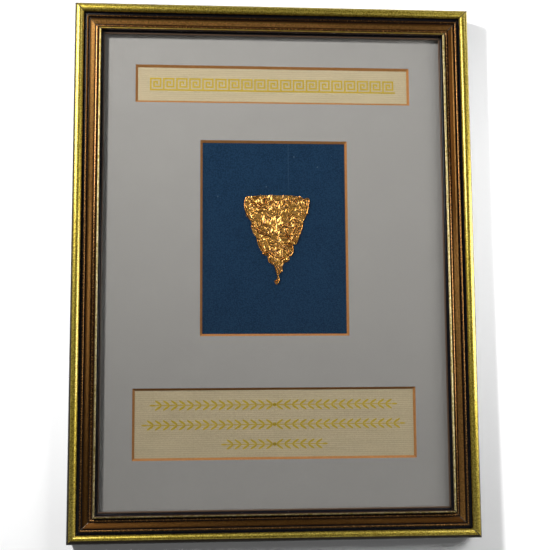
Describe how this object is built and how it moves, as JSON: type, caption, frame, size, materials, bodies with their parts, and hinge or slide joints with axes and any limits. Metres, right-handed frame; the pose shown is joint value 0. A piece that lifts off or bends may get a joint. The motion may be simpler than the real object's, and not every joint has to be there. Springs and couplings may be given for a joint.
{
  "type": "gold diadem leaf in a glazed display frame",
  "caption": "Crumpled gold leaf with a hooked stem on a blue card, behind a bevelled mat and glass in a gold and copper picture frame that lies on its back.",
  "frame": {"origin": "middle of the back plane, on the surface that the frame lies on", "axes": "+Z out of the picture, towards the viewer; +Y up the picture; +X to the right of the picture"},
  "size_m": [0.241, 0.3206, 0.0167],
  "materials": {
    "moulding": "gilt bead with dark specks, black lacquered grooves, satin copper band and ridges, bare wood at the back",
    "glass": "clear, polished",
    "mat_board": "warm grey, fine toothed face, orange-brown core at the bevels",
    "label_card": "cream laid paper",
    "blue_card": "dark blue, fine grain, matt",
    "beaten_gold": "crumpled beaten gold, satin to bright, brown in the creases",
    "hardboard": "brown hardboard, matt",
    "steel": "dull plated"
  },
  "bodies": {
    "root": {"rail_top": "moulding", "rail_bottom": "moulding", "rail_left": "moulding", "rail_right": "moulding", "glass": "glass", "mat": "mat_board", "top_label": "label_card", "bottom_label": "label_card", "blue_card": "blue_card", "leaf": "beaten_gold", "back_board": "hardboard", "point_1": "steel", "point_2": "steel", "point_3": "steel", "point_4": "steel", "point_5": "steel", "point_6": "steel", "point_7": "steel", "point_8": "steel"}
  },
  "joints": []
}
